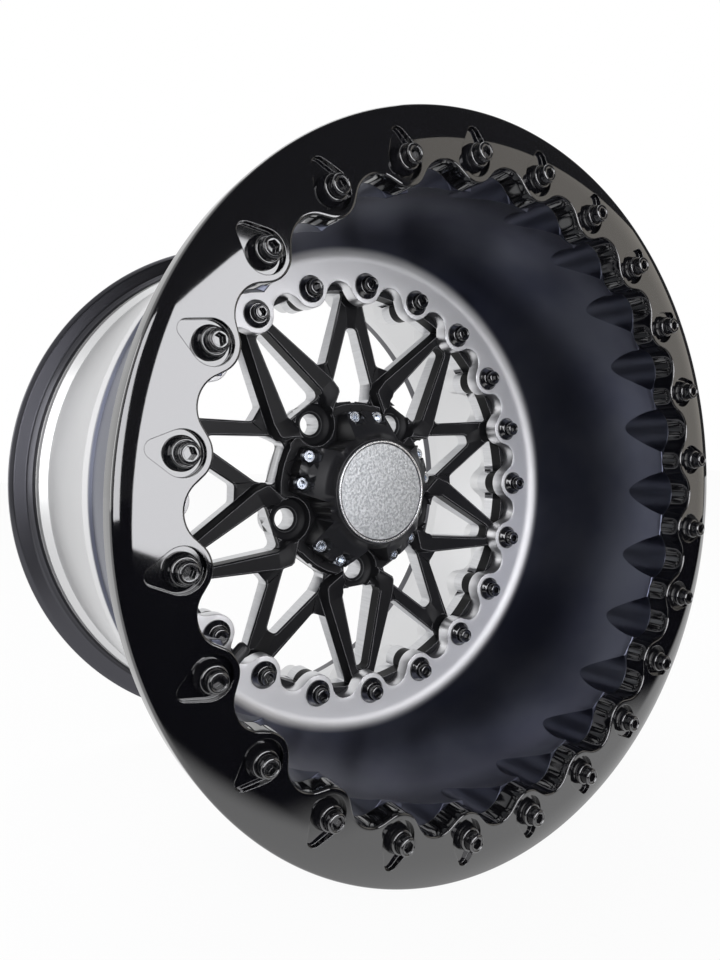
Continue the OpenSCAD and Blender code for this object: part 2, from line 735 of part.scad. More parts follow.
module valve_core() {
    color([0.7, 0.6, 0.35]) to_row() on_valve_axis() union() {
        translate([0, 0, valve_tip + 2]) cylinder(r = valve_bore - thread_gap, h = 14);
        translate([0, 0, valve_tip + 0.3]) cylinder(r = 0.7, h = 3);
    }
}

module valve_cap() {
    color([0.04, 0.04, 0.04]) to_row() on_valve_axis() difference() {
        rotate_extrude() polygon([[0, valve_cap_end], [valve_cap_radius - 1.4, valve_cap_end],
            [valve_cap_radius - 0.3, valve_cap_end + 1.2], [valve_cap_radius, valve_cap_end + 2.4],
            [valve_cap_radius, cap_wall_end], [0, cap_wall_end]]);
        translate([0, 0, valve_tip - 0.2])
            cylinder(r = valve_stem_radius - 0.5 + thread_gap, h = 40);
        translate([0, 0, valve_tip + 8.6]) cylinder(r = valve_stem_radius + 0.1, h = 40);
        for (i = [0 : 19]) rotate([0, 0, i * 18]) translate([valve_cap_radius + 0.25, 0, valve_cap_end + 2.6])
            cylinder(r = 0.4, h = 40, $fn = 8);
    }
}

clamp_ring();
clamp_bolts();
clamp_washers();
mouth_inserts();
outer_barrel();
inner_barrel();
barrel_seal();
wheel_centre();
assembly_bolts();
assembly_washers();
flange_inserts();
hub_cap_body();
hub_cap_disc();
disc_seal();
hub_cap_screws();
valve_stem();
valve_seal();
valve_washer();
valve_nut();
valve_core();
valve_cap();
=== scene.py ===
# %% [markdown]
# # A deep beadlock wheel
#
# The wheel is five big turned parts: a clamp ring, two halves of a barrel, a spoked
# centre and a hub cap, with rows of bolts that hold them together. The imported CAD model
# gives every part its true place, so this script only makes them look right. Parts that
# the eye dwells on are modelled again with finer curves and rounded edges, and the rest
# keep their CAD solids and get a better finish.

# %% The frame that everything is built in
import math

import bpy
from mathutils import Matrix, Vector


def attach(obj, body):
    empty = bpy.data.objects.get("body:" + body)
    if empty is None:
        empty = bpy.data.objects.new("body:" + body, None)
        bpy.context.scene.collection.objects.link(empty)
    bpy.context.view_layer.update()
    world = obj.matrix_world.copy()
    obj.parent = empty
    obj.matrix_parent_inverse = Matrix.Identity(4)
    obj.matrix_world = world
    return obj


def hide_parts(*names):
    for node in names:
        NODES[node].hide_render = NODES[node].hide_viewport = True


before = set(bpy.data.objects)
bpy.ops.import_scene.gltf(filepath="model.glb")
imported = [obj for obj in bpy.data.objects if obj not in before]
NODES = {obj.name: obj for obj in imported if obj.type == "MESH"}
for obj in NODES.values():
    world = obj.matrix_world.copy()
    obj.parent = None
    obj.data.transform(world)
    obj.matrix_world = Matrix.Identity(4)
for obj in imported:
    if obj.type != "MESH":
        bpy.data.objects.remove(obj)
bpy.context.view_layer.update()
MM = 0.001
bpy.ops.object.select_all(action="DESELECT")
print("CAD nodes:", len(NODES))

# %% [markdown]
# ## Shader maths as arithmetic
#
# Blender's materials are graphs of nodes. Adding two noise patterns by hand takes a Math
# node and three links. Here one small class wraps an output socket, so that the same sum
# is written as `a + b`, and one method makes every other node.

# %% One class that turns sockets into arithmetic
class Wire:
    """An output socket of a material, with the operators that shader maths needs."""

    def __init__(self, tree, socket):
        self.tree = tree
        self.socket = socket

    def node(self, kind, settings=None, inputs=None, out=0):
        made = self.tree.nodes.new(kind)
        for name, value in (settings or {}).items():
            setattr(made, name, value)
        for name, value in (inputs or {}).items():
            if isinstance(value, Wire):
                self.tree.links.new(value.socket, made.inputs[name])
            else:
                made.inputs[name].default_value = value
        return Wire(self.tree, made.outputs[out])

    def maths(self, operation, *others):
        inputs = {0: self}
        inputs.update({i + 1: other for i, other in enumerate(others)})
        return self.node("ShaderNodeMath", {"operation": operation}, inputs)

    def __add__(self, other):
        return self.maths("ADD", other)

    def __sub__(self, other):
        return self.maths("SUBTRACT", other)

    def __rsub__(self, other):
        return self.maths("MULTIPLY", -1.0).maths("ADD", other)

    def __mul__(self, other):
        return self.maths("MULTIPLY", other)

    __radd__ = __add__
    __rmul__ = __mul__

    def clip(self):
        """The value kept between 0 and 1."""
        return self.maths("MAXIMUM", 0.0).maths("MINIMUM", 1.0)

    def step(self, low, high):
        """0 below low, 1 above high, and a smooth rise between them."""
        return self.node("ShaderNodeMapRange", {"interpolation_type": "SMOOTHSTEP"},
                         {"Value": self, "From Min": low, "From Max": high})

    def noise(self, scale, detail=2.0, rough=0.5, stretch=None):
        """A noise pattern on this vector. A stretch squeezes it along an axis first."""
        at = self
        if stretch:
            at = self.node("ShaderNodeMapping", inputs={"Vector": self, "Scale": stretch})
        return at.node("ShaderNodeTexNoise", inputs={
            "Vector": at, "Scale": scale, "Detail": detail, "Roughness": rough})

    def blend(self, first, second):
        """first where this is 0 and second where it is 1, as colours."""
        made = self.tree.nodes.new("ShaderNodeMix")
        made.data_type = "RGBA"
        self.tree.links.new(self.socket, made.inputs[0])
        for slot, value in ((6, first), (7, second)):
            if isinstance(value, Wire):
                self.tree.links.new(value.socket, made.inputs[slot])
            else:
                made.inputs[slot].default_value = (*value, 1)
        return Wire(self.tree, made.outputs[2])


# %% [markdown]
# A finish starts as one Principled shader with plain numbers on its own sockets. What
# varies over the surface is linked to it afterwards: colour, roughness and bump.

# %% Starting a finish
class Finish:
    """A named material with one Principled shader, and the place of each point on the piece."""

    def __init__(self, name, **numbers):
        self.material = bpy.data.materials.new(name)
        self.material.use_nodes = True
        self.tree = self.material.node_tree
        self.shader = self.tree.nodes["Principled BSDF"]
        for socket, value in numbers.items():
            self.shader.inputs[socket.replace("_", " ")].default_value = value
        place = self.tree.nodes.new("ShaderNodeTexCoord")
        self.place = Wire(self.tree, place.outputs["Object"])
        geometry = self.tree.nodes.new("ShaderNodeNewGeometry")
        self.facing = Wire(self.tree, geometry.outputs["Normal"])

    def feed(self, socket, wire):
        self.tree.links.new(wire.socket, self.shader.inputs[socket])
        return self

    def axes(self):
        """The point's x, y and z in metres."""
        split = self.tree.nodes.new("ShaderNodeSeparateXYZ")
        self.tree.links.new(self.place.socket, split.inputs[0])
        return [Wire(self.tree, split.outputs[i]) for i in range(3)]

    def normal_y(self):
        """How much the surface faces along the wheel axis: -1 at the front, 1 at the back."""
        split = self.tree.nodes.new("ShaderNodeSeparateXYZ")
        self.tree.links.new(self.facing.socket, split.inputs[0])
        return Wire(self.tree, split.outputs[1])

    def polar(self):
        """The radius from the wheel axis, and the place along it."""
        x, y, z = self.axes()
        return (x * x + z * z).maths("SQRT"), y

    def hard_edge_band(self, width, low, high):
        """1 within a width of a hard edge, in mm, where the rounded normal leaves the flat one."""
        rounded_normal = self.place.node("ShaderNodeBevel", {"samples": 8}, {"Radius": width * MM})
        away = self.facing.node("ShaderNodeVectorMath", {"operation": "DOT_PRODUCT"},
                                {0: rounded_normal, 1: self.facing}, out=1)
        return (1 - away).step(low, high)

    def relief(self, height, distance, strength=1.0, edge=0.0):
        """Bump from a height pattern, and a rounded look on hard edges where edge is given, in mm."""
        inputs = {"Height": height, "Distance": distance * MM, "Strength": strength}
        if edge:
            inputs["Normal"] = self.place.node(
                "ShaderNodeBevel", {"samples": 6}, {"Radius": edge * MM})
        bump = self.place.node("ShaderNodeBump", inputs=inputs)
        return self.feed("Normal", bump)


# %% [markdown]
# ## Gloss black
#
# The clamp ring and every visible bolt are polished and coated with a hard black lacquer:
# very dark, with reflections as sharp as a mirror's. A lacquer with a high index of
# refraction throws back about a tenth of the light, which is why the studio lights show so
# clearly in it. Slow waviness in the coat keeps the reflections from looking computed.

# %% Gloss black for the ring and the bolts
LACQUER_IOR = 2.0


def gloss_black():
    paint = Finish("gloss_black_lacquer", Base_Color=(0.003, 0.003, 0.004, 1), Roughness=0.05,
                   IOR=LACQUER_IOR)
    wave = paint.place.noise(34.0, 2.0, 0.5)
    film = paint.place.noise(70.0, 4.0, 0.6)
    dust = paint.place.noise(1100.0, 2.0, 0.6).step(0.76, 0.79)
    paint.feed("Base Color", dust.blend((0.003, 0.003, 0.004), (0.05, 0.05, 0.055)))
    paint.feed("Roughness", film * 0.04 + 0.03 + dust * 0.2)
    paint.relief(wave, 0.09, 0.3, edge=0.5)
    return paint.material


def polished_black():
    paint = Finish("polished_black_steel", Base_Color=(0.005, 0.005, 0.006, 1), Roughness=0.08,
                   IOR=LACQUER_IOR)
    film = paint.place.noise(240.0, 2.0, 0.5)
    paint.feed("Roughness", film * 0.06 + 0.06)
    paint.feed("Base Color", film.blend((0.003, 0.003, 0.004), (0.010, 0.010, 0.012)))
    paint.relief(film, 0.015, 0.2, edge=0.3)
    return paint.material


# %% [markdown]
# ## Anodised and coated aluminium
#
# The outer half is satin anodised, a blue-black that turns grey where it mirrors the
# light. It was turned on a lathe first, so very fine rings run round it. Its flange is
# pale and matt, and the scalloped walls of the flange are bare. The centre has a flat
# black coat on its front and back: its windows were milled after coating, which left
# their walls bare. A thin grey band along its front edges is a painted highlight.

# %% Satin black for the outer half
FLANGE_DEPTH = -39.0
SCALLOP_REACH = 147.0


def satin_anodised():
    metal = Finish("satin_blue_black", Base_Color=(0.07, 0.072, 0.085, 1), Roughness=0.3,
                   Metallic=1.0)
    radius, depth = metal.polar()
    rings = radius.node("ShaderNodeTexNoise", {"noise_dimensions": "1D"},
                        {"W": radius + depth, "Scale": 2600.0, "Detail": 1.0})
    cloud = metal.place.noise(13.0, 3.0, 0.5)
    fine = metal.place.noise(900.0, 2.0, 0.6)
    flange = depth.step((FLANGE_DEPTH - 7) * MM, (FLANGE_DEPTH - 2) * MM)
    sideways = (1 - (0 - metal.normal_y()).step(0.5, 0.8)) * (1 - metal.normal_y().step(0.5, 0.8))
    scallop = (1 - radius.step(SCALLOP_REACH * MM, (SCALLOP_REACH + 1) * MM)) * sideways
    dish = cloud.step(0.3, 0.7).blend((0.075, 0.080, 0.118), (0.120, 0.128, 0.165))
    metal.feed("Base Color", scallop.blend(flange.blend(dish, (0.68, 0.68, 0.69)), (0.80, 0.80, 0.82)))
    metal.feed("Roughness", cloud * 0.08 + fine * 0.04 + 0.26 + flange * 0.27 - scallop * 0.2)
    metal.relief(rings * 0.6 + fine * 0.4, 0.008, 0.3, edge=0.5)
    return metal.material


# %% Bare turned aluminium for the inner half
LIP_START = 113.0


def turned_aluminium():
    metal = Finish("turned_aluminium", Base_Color=(0.70, 0.71, 0.72, 1), Roughness=0.36,
                   Metallic=1.0)
    radius, depth = metal.polar()
    rings = radius.node("ShaderNodeTexNoise", {"noise_dimensions": "1D"},
                        {"W": radius + depth, "Scale": 1500.0, "Detail": 2.0})
    cloud = metal.place.noise(9.0, 3.0, 0.5)
    film = metal.place.noise(260.0, 3.0, 0.6)
    lip = depth.step(LIP_START * MM, (LIP_START + 0.6) * MM)
    metal.feed("Base Color", lip.blend(
        cloud.blend((0.60, 0.60, 0.61), (0.74, 0.745, 0.75)), (0.075, 0.075, 0.085)))
    metal.feed("Roughness", cloud * 0.10 + film * 0.06 + 0.28 - lip * 0.06)
    metal.relief(rings * 0.5 + film * 0.1, 0.006, 0.35, edge=0.4)
    return metal.material


# %% Black coat over bare walls for the centre
STEP_DEPTH = -20.0


def coated_centre():
    coat = Finish("black_coat_bare_walls", Base_Color=(0.01, 0.01, 0.012, 1), Roughness=0.4, IOR=1.2)
    depth = coat.polar()[1]
    facing = coat.normal_y()
    grain = coat.place.noise(1600.0, 2.0, 0.6)
    cloud = coat.place.noise(40.0, 3.0, 0.5)
    below = depth.step((STEP_DEPTH + 0.7) * MM, (STEP_DEPTH + 0.9) * MM)
    sideways = (1 - (0 - facing).step(0.5, 0.75)) * (1 - facing.step(0.5, 0.75))
    bare = (below * sideways).clip()
    cutter = coat.place.noise(1300.0, 2.0, 0.6, stretch=(1.0, 0.03, 1.0))
    black = cloud.blend((0.007, 0.007, 0.008), (0.012, 0.012, 0.013))
    silver = cutter.blend((0.50, 0.505, 0.52), (0.70, 0.705, 0.72))
    # Painted highlight: a thin grey band on the front-facing hard edges, where a rounded edge would catch
    # the light.
    painted_edge_highlight = coat.hard_edge_band(0.55, 0.006, 0.035) * (0 - facing).step(0.3, 0.6)
    coat.feed("Base Color", bare.blend(painted_edge_highlight.blend(black, (0.22, 0.22, 0.23)), silver))
    coat.feed("Metallic", bare)
    coat.feed("Roughness", bare * -0.06 + grain * 0.10 + 0.33)
    coat.relief(grain * 0.5 * (1 - bare) + cutter * bare * 0.5, 0.02, 0.35, edge=0.25)
    return coat.material


# %% Black coat for the hub cap body
def cap_coat():
    coat = Finish("black_coat", Base_Color=(0.012, 0.012, 0.013, 1), Roughness=0.32, IOR=1.6)
    grain = coat.place.noise(1600.0, 2.0, 0.6)
    cloud = coat.place.noise(60.0, 3.0, 0.5)
    coat.feed("Base Color", cloud.blend((0.009, 0.009, 0.011), (0.016, 0.016, 0.017)))
    coat.feed("Roughness", grain * 0.12 + 0.27)
    coat.relief(grain, 0.012, 0.3, edge=0.5)
    return coat.material


# %% [markdown]
# ## Small metal and rubber
#
# The cap's disc is silver with a fine hammered skin inside a bright turned rim. Its screws
# are bright zinc with a blue cast, the inserts are steel in the same bright zinc finish, the
# seals are rubber, and the valve core is brass.

# %% Hammered silver, zinc, brass, rubber and plastic
DISC_RIM = 33.0


def hammered_silver():
    metal = Finish("hammered_silver", Base_Color=(0.40, 0.41, 0.42, 1), Roughness=0.36,
                   Metallic=1.0)
    radius, depth = metal.polar()
    rim = radius.step((DISC_RIM - 0.2) * MM, (DISC_RIM + 0.1) * MM)
    # Painted shadow: a dark ring just inside the raised rim, where the rim shades the disc.
    painted_rim_shadow = radius.step((DISC_RIM - 0.9) * MM, (DISC_RIM - 0.7) * MM) * (1 - rim)
    dents = metal.place.noise(620.0, 2.0, 0.5)
    fine = metal.place.noise(2600.0, 2.0, 0.6)
    skin = dents.step(0.32, 0.7).blend((0.36, 0.375, 0.39), (0.60, 0.615, 0.63))
    # The 0.10 grey is the painted rim shadow, and the 0.86 is the bright turned rim.
    metal.feed("Base Color", painted_rim_shadow.blend(rim.blend(skin, (0.86, 0.87, 0.88)), (0.10, 0.10, 0.11)))
    metal.feed("Roughness", fine * 0.12 + 0.32 - rim * 0.12)
    metal.relief((dents.step(0.25, 0.75) + fine * 0.1) * (1 - rim), 0.10, 0.6, edge=0.3)
    return metal.material


def bright_zinc():
    metal = Finish("bright_zinc", Base_Color=(0.62, 0.66, 0.74, 1), Roughness=0.2, Metallic=1.0)
    cloud = metal.place.noise(300.0, 2.0, 0.5)
    metal.feed("Base Color", cloud.blend((0.50, 0.55, 0.64), (0.72, 0.75, 0.80)))
    metal.feed("Roughness", cloud * 0.14 + 0.12)
    metal.relief(cloud, 0.01, 0.2, edge=0.25)
    return metal.material


def core_brass():
    metal = Finish("core_brass", Base_Color=(0.70, 0.55, 0.28, 1), Roughness=0.25, Metallic=1.0)
    cloud = metal.place.noise(600.0, 2.0, 0.5)
    metal.feed("Roughness", cloud * 0.2 + 0.15)
    metal.feed("Base Color", cloud.blend((0.60, 0.46, 0.22), (0.76, 0.61, 0.34)))
    return metal.material


def seal_rubber():
    rubber = Finish("seal_rubber", Base_Color=(0.012, 0.012, 0.012, 1), Roughness=0.6)
    grain = rubber.place.noise(1200.0, 3.0, 0.6)
    rubber.feed("Roughness", grain * 0.25 + 0.45)
    rubber.feed("Base Color", grain.blend((0.008, 0.008, 0.008), (0.022, 0.022, 0.022)))
    return rubber.material


def moulded_black():
    plastic = Finish("moulded_black", Base_Color=(0.014, 0.014, 0.015, 1), Roughness=0.35)
    grain = plastic.place.noise(900.0, 3.0, 0.6)
    plastic.feed("Roughness", grain * 0.2 + 0.25)
    plastic.feed("Base Color", grain.blend((0.010, 0.010, 0.011), (0.024, 0.024, 0.026)))
    plastic.relief(grain, 0.02, 0.4, edge=0.2)
    return plastic.material


GLOSS = gloss_black()
POLISHED = polished_black()
SATIN = satin_anodised()
TURNED = turned_aluminium()
CENTRE = coated_centre()
CAP = cap_coat()
HAMMERED = hammered_silver()
ZINC = bright_zinc()
BRASS = core_brass()
RUBBER = seal_rubber()
MOULDED = moulded_black()
print("finishes:", len(bpy.data.materials))

# %% [markdown]
# ## Finishes on the CAD solids that stay
#
# A CAD node whose shape is right only needs a finish in its material slot.

# %% Finishing the CAD nodes
CAD_FINISHES = {
    "clamp_ring": GLOSS, "clamp_bolts": POLISHED, "clamp_washers": POLISHED,
    "mouth_inserts": ZINC, "outer_barrel": SATIN, "inner_barrel": TURNED,
    "barrel_seal": RUBBER, "wheel_centre": CENTRE, "assembly_bolts": POLISHED,
    "assembly_washers": POLISHED, "flange_inserts": ZINC, "hub_cap_body": CAP,
    "hub_cap_disc": HAMMERED, "disc_seal": RUBBER, "hub_cap_screws": ZINC,
    "valve_stem": POLISHED, "valve_seal": RUBBER, "valve_washer": POLISHED,
    "valve_nut": POLISHED, "valve_core": BRASS, "valve_cap": MOULDED,
}
for name, finish in CAD_FINISHES.items():
    NODES[name].data.materials.clear()
    NODES[name].data.materials.append(finish)
print("CAD nodes finished:", len(CAD_FINISHES))

# %% [markdown]
# ## Tools for turned parts
#
# Most of this wheel was made on a lathe, so most new pieces start the same way: a flat
# grid is added, and rolled round the wheel axis like a sheet of paper, with each column of
# points laid on a section. Unlike a spin, a rolled grid may have a different section at
# every angle, which is what a scalloped edge needs.

# %% Sections, arcs and rolled grids
def arc(centre, radius, start, end, steps):
    """Points of an arc in a section (radius from the axis, y), with angles in degrees."""
    points = []
    for i in range(steps + 1):
        a = math.radians(start + (end - start) * i / steps)
        points.append((centre[0] + radius * math.cos(a), centre[1] + radius * math.sin(a)))
    return points


def rounded(corners, steps=4):
    """An open section whose corners (radius from the axis, y, rounding) are rounded off."""
    points = [corners[0][:2]]
    for before, here, after in zip(corners, corners[1:], corners[2:]):
        if here[2] <= 0:
            points.append(here[:2])
            continue
        at = Vector(here[:2])
        u = (Vector(before[:2]) - at).normalized()
        w = (Vector(after[:2]) - at).normalized()
        half = u.angle(w) / 2
        reach = here[2] / math.tan(half)
        middle = at + (u + w).normalized() * here[2] / math.sin(half)
        first = at + u * reach - middle
        last = at + w * reach - middle
        turn = math.atan2(first.x * last.y - first.y * last.x, first.dot(last))
        begin = math.atan2(first.y, first.x)
        for i in range(steps + 1):
            a = begin + turn * i / steps
            points.append((middle.x + here[2] * math.cos(a), middle.y + here[2] * math.sin(a)))
    points.append(corners[-1][:2])
    return points


def in_edit(piece):
    """Makes the piece the only selected one and opens it in edit mode with all of it selected."""
    bpy.ops.object.select_all(action="DESELECT")
    piece.select_set(True)
    bpy.context.view_layer.objects.active = piece
    bpy.ops.object.mode_set(mode="EDIT")
    bpy.ops.mesh.select_all(action="SELECT")


def close_and_smooth(piece, angle=32):
    """Merges the seams and poles, turns the faces outwards and smooths what isn't an edge."""
    in_edit(piece)
    bpy.ops.mesh.remove_doubles(threshold=0.004 * MM)
    bpy.ops.mesh.normals_make_consistent(inside=False)
    bpy.ops.object.mode_set(mode="OBJECT")
    bpy.ops.object.shade_smooth_by_angle(angle=math.radians(angle))


def even_turns(columns):
    """Turns of a full circle, in degrees, with the first one once more at the end."""
    return [360.0 * column / columns for column in range(columns + 1)]


def rolled(name, turns, section):
    """A grid rolled round the wheel axis. section(turn) gives the column at a turn, in mm."""
    rows = len(section(0.0))
    bpy.ops.mesh.primitive_grid_add(x_subdivisions=rows - 1, y_subdivisions=len(turns) - 1, size=1)
    piece = bpy.context.object
    piece.name = name
    places = []
    for turn in turns:
        a = math.radians(turn)
        for radius, y in section(turn):
            places += [radius * math.sin(a) * MM, y * MM, radius * math.cos(a) * MM]
    piece.data.vertices.foreach_set("co", places)
    piece.data.update()
    close_and_smooth(piece)
    return piece


def dress(piece, finish, slot, *nodes):
    """Finishes a piece and lets it stand for its CAD nodes."""
    piece.data.materials.clear()
    piece.data.materials.append(finish)
    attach(piece, "root")
    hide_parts(*nodes)
    print(piece.name, "stands for", ", ".join(nodes), "with", len(piece.data.polygons), "faces")
    return piece


# %% [markdown]
# ## The scalloped edge
#
# The inner edge of the clamp ring is a wave: a round lobe at each bolt and a round valley
# between two bolts. Both are arcs, and seen from the axis each direction meets the edge
# once, so the wave is simply a radius for every angle.

# %% Radius of a bolted wave at an angle
def wave_radius(turn, first, count, circle, lobe, scallop, valley):
    """Radius of the wave at a turn in degrees, for count bolts of which one is at first."""
    step = 360.0 / count
    off = abs((turn - first + step / 2) % step - step / 2)
    hollow = valley - scallop
    run = Vector((hollow * math.cos(math.radians(step / 2)) - circle,
                  hollow * math.sin(math.radians(step / 2))))
    meet = Vector((circle, 0)) + run.normalized() * (lobe + (run.length - lobe - scallop) / 2)
    if math.degrees(math.atan2(meet.y, meet.x)) > off:
        a = math.radians(off)
        return circle * math.cos(a) - math.sqrt(max(0.0, lobe ** 2 - (circle * math.sin(a)) ** 2))
    a = math.radians(step / 2 - off)
    return hollow * math.cos(a) + math.sqrt(max(0.0, scallop ** 2 - (hollow * math.sin(a)) ** 2))


FIRST_BOLT = -36.0
CLAMP_BOLTS = 24
CLAMP_CIRCLE = 178.2
CLAMP_STEP = 360.0 / CLAMP_BOLTS
CLAMP_LOBE = 12.8
SCOOP = 15.0
VALLEY = 176.0


def mouth_wave(turn):
    """The clamp ring's inner edge."""
    return wave_radius(turn, FIRST_BOLT, CLAMP_BOLTS, CLAMP_CIRCLE, CLAMP_LOBE, SCOOP, VALLEY)


FLANGE_BOLTS = 20
FLANGE_CIRCLE = 140.0
FLANGE_LOBE = 12.0
FLANGE_SCALLOP = 10.6
FLANGE_VALLEY = 142.5


def flange_wave(turn):
    """The inner edge of the outer half's flange."""
    return wave_radius(turn, FIRST_BOLT, FLANGE_BOLTS, FLANGE_CIRCLE, FLANGE_LOBE, FLANGE_SCALLOP,
                       FLANGE_VALLEY)


print("mouth wave from", round(mouth_wave(FIRST_BOLT), 2), "mm at a bolt to",
      round(mouth_wave(FIRST_BOLT + CLAMP_STEP / 2), 2), "mm in a valley")

# %% [markdown]
# ## The clamp ring
#
# The ring is flat at its inner edge and rolls back to a rounded rim. Each bolt stands in
# a teardrop pocket whose point reaches out onto the crown. The ring is rolled from
# its section with the wave as its inner edge, and the pockets are cut by a boolean with a
# ring of teardrop blocks.

# %% The clamp ring's section
RING_FRONT = -167.7
RING_BACK = -154.5
CROWN_START = 185.2
CROWN = 45.0
RIM_ROUND = 2.0
RIM_CENTRE = 201.8
EDGE_ROUND = 0.9
SKIRT_RADIUS = 203.8
SKIRT_INNER = 191.0
SKIRT_BACK = -151.9
FACE_ROWS = 28


def crown_depth(radius):
    """The depth of the ring's front at a radius: flat, then an arc that falls away."""
    if radius <= CROWN_START:
        return RING_FRONT
    return RING_FRONT + CROWN - math.sqrt(CROWN ** 2 - (radius - CROWN_START) ** 2)


RIM_OUT = RIM_CENTRE - CROWN_START
RIM_DEPTH = RING_FRONT + CROWN - math.sqrt((CROWN - RIM_ROUND) ** 2 - RIM_OUT ** 2)
RIM_LEAN = math.degrees(math.atan2(RIM_DEPTH - RING_FRONT - CROWN, RIM_OUT))


def clamp_section(turn):
    """From the back of the wave over the front and the rim to the skirt over the bead seat."""
    inner = mouth_wave(turn)
    points = [(inner, RING_BACK), (inner, RING_BACK - 4), (inner, RING_BACK - 8)]
    points += arc((inner + EDGE_ROUND, RING_FRONT + EDGE_ROUND), EDGE_ROUND, 180, 270, 4)
    start = inner + EDGE_ROUND
    end = RIM_CENTRE + RIM_ROUND * math.cos(math.radians(RIM_LEAN))
    for i in range(1, FACE_ROWS):
        radius = start + (end - start) * i / FACE_ROWS
        points.append((radius, crown_depth(radius)))
    points += arc((RIM_CENTRE, RIM_DEPTH), RIM_ROUND, RIM_LEAN, 0, 6)
    points += [(SKIRT_RADIUS, RING_BACK - 2), (SKIRT_RADIUS, SKIRT_BACK - 1),
               (SKIRT_RADIUS - 1, SKIRT_BACK), (SKIRT_INNER + 6, SKIRT_BACK), (SKIRT_INNER, RING_BACK + 0.6),
               (SKIRT_INNER, RING_BACK), (inner, RING_BACK)]
    return points


# %% Cutting the teardrop pockets
POCKET_FLOOR = -164.6
POCKET_ROUND = 9.7
POCKET_TIP = 4.2
POCKET_TIP_CENTRE = 189.2
POCKET_LENGTH = POCKET_TIP_CENTRE - CLAMP_CIRCLE
TEARDROP_SLOPE = math.degrees(math.acos((POCKET_ROUND - POCKET_TIP) / POCKET_LENGTH))


def teardrop_outline():
    """The teardrop as (radius from the axis, sideways): a small arc, and a big one round the bolt."""
    tip = arc((POCKET_TIP_CENTRE, 0), POCKET_TIP, -TEARDROP_SLOPE, TEARDROP_SLOPE, 16)
    return tip + arc((CLAMP_CIRCLE, 0), POCKET_ROUND, TEARDROP_SLOPE, 360 - TEARDROP_SLOPE, 40)


def ring_of(piece, count, first=FIRST_BOLT):
    """Copies a piece that stands at the top of the wheel round the axis, and joins the copies."""
    copies = []
    for i in range(count):
        bpy.ops.object.select_all(action="DESELECT")
        piece.select_set(True)
        bpy.context.view_layer.objects.active = piece
        bpy.ops.object.duplicate()
        copy = bpy.context.object
        copy.data.transform(Matrix.Rotation(math.radians(first + 360.0 * i / count), 4, "Y"))
        copies.append(copy)
    bpy.data.objects.remove(piece)
    bpy.ops.object.select_all(action="DESELECT")
    for copy in copies:
        copy.select_set(True)
    bpy.context.view_layer.objects.active = copies[0]
    bpy.ops.object.join()
    return bpy.context.object


def boolean(piece, tool):
    """Cuts a tool out of a piece, and removes the tool."""
    bpy.ops.object.select_all(action="DESELECT")
    bpy.context.view_layer.objects.active = piece
    piece.select_set(True)
    cut = piece.modifiers.new("cut", "BOOLEAN")
    cut.operation = "DIFFERENCE"
    cut.solver = "EXACT"
    cut.object = tool
    bpy.ops.object.modifier_apply(modifier=cut.name)
    bpy.data.objects.remove(tool)


def teardrop_block():
    """A teardrop prism at the top of the wheel, from in front of the ring down to the pocket floor."""
    outline = teardrop_outline()
    bpy.ops.mesh.primitive_circle_add(vertices=len(outline), radius=1, fill_type="NGON")
    block = bpy.context.object
    for vertex, (radius, sideways) in zip(block.data.vertices, outline):
        vertex.co = (sideways * MM, POCKET_FLOOR * MM, radius * MM)
    in_edit(block)
    bpy.ops.mesh.extrude_region_move(TRANSFORM_OT_translate={"value": (0, -8 * MM, 0)})
    bpy.ops.mesh.select_all(action="SELECT")
    bpy.ops.mesh.normals_make_consistent(inside=False)
    bpy.ops.object.mode_set(mode="OBJECT")
    return block


clamp = rolled("clamp_ring_coated", even_turns(720), clamp_section)
boolean(clamp, ring_of(teardrop_block(), CLAMP_BOLTS))
bpy.ops.object.shade_smooth_by_angle(angle=math.radians(32))
dress(clamp, GLOSS, "gloss_black", "clamp_ring")

# %% [markdown]
# ## Bolts and cup washers
#
# Each bolt is turned: a head with a rounded shoulder, a dished top and a hex socket. It
# stands in a cup washer, a domed ring with a deep recess. One of each is made at the top
# of the wheel and copied round.

# %% Turning a small part about its own axis
def turned(name, section, centre_radius, steps=48):
    """A section (radius, y) turned about an axis parallel to the wheel's, at the top of the wheel."""
    piece = rolled(name, even_turns(steps), lambda turn: section)
    piece.data.transform(Matrix.Translation((0, 0, centre_radius * MM)))
    return piece


def hex_tool(flats, deep_y, front_y, centre_radius):
    """A hexagonal bar along the wheel axis, for a socket."""
    bpy.ops.mesh.primitive_cylinder_add(
        vertices=6, radius=flats / math.sqrt(3) * MM, depth=(deep_y - front_y) * MM,
        location=(0, (deep_y + front_y) / 2 * MM, centre_radius * MM), rotation=(math.pi / 2, 0, 0))
    tool = bpy.context.object
    bpy.ops.object.transform_apply(location=True, rotation=True, scale=True)
    return tool


def socket_bolt(name, top, head, head_height, shank, tip, circle):
    """A socket head bolt, from the top of its head at depth top to the end of its shank at tip."""
    section = rounded([
        (0, top + 0.35, 0), (3.3, top + 0.35, 0.2), (3.7, top, 0.25), (head, top, 1.1),
        (head, top + head_height, 0.25), (shank, top + head_height, 0),
        (shank, tip - 0.8, 0), (shank - 0.8, tip, 0), (0, tip, 0)], 4)
    bolt = turned(name, section, circle)
    boolean(bolt, hex_tool(5.0, top + 3.8, top - 1, circle))
    bpy.ops.object.shade_smooth_by_angle(angle=math.radians(32))
    return bolt


def cup_washer(name, base, outer, height, head, recess, bore, circle):
    """A domed washer that stands forwards from the plane base, with a recess for the head."""
    top = base - height
    section = rounded([
        (bore, base, 0), (outer, base, 0), (outer, base - 1.3, 0.5),
        (outer - 0.9, base - height * 0.55, 2.2), (head + 1.3, top, 0.8),
        (head + 0.25, top, 0.25), (head + 0.25, base - recess, 0), (bore, base - recess, 0),
        (bore, base, 0)], 5)
    return turned(name, section, circle)


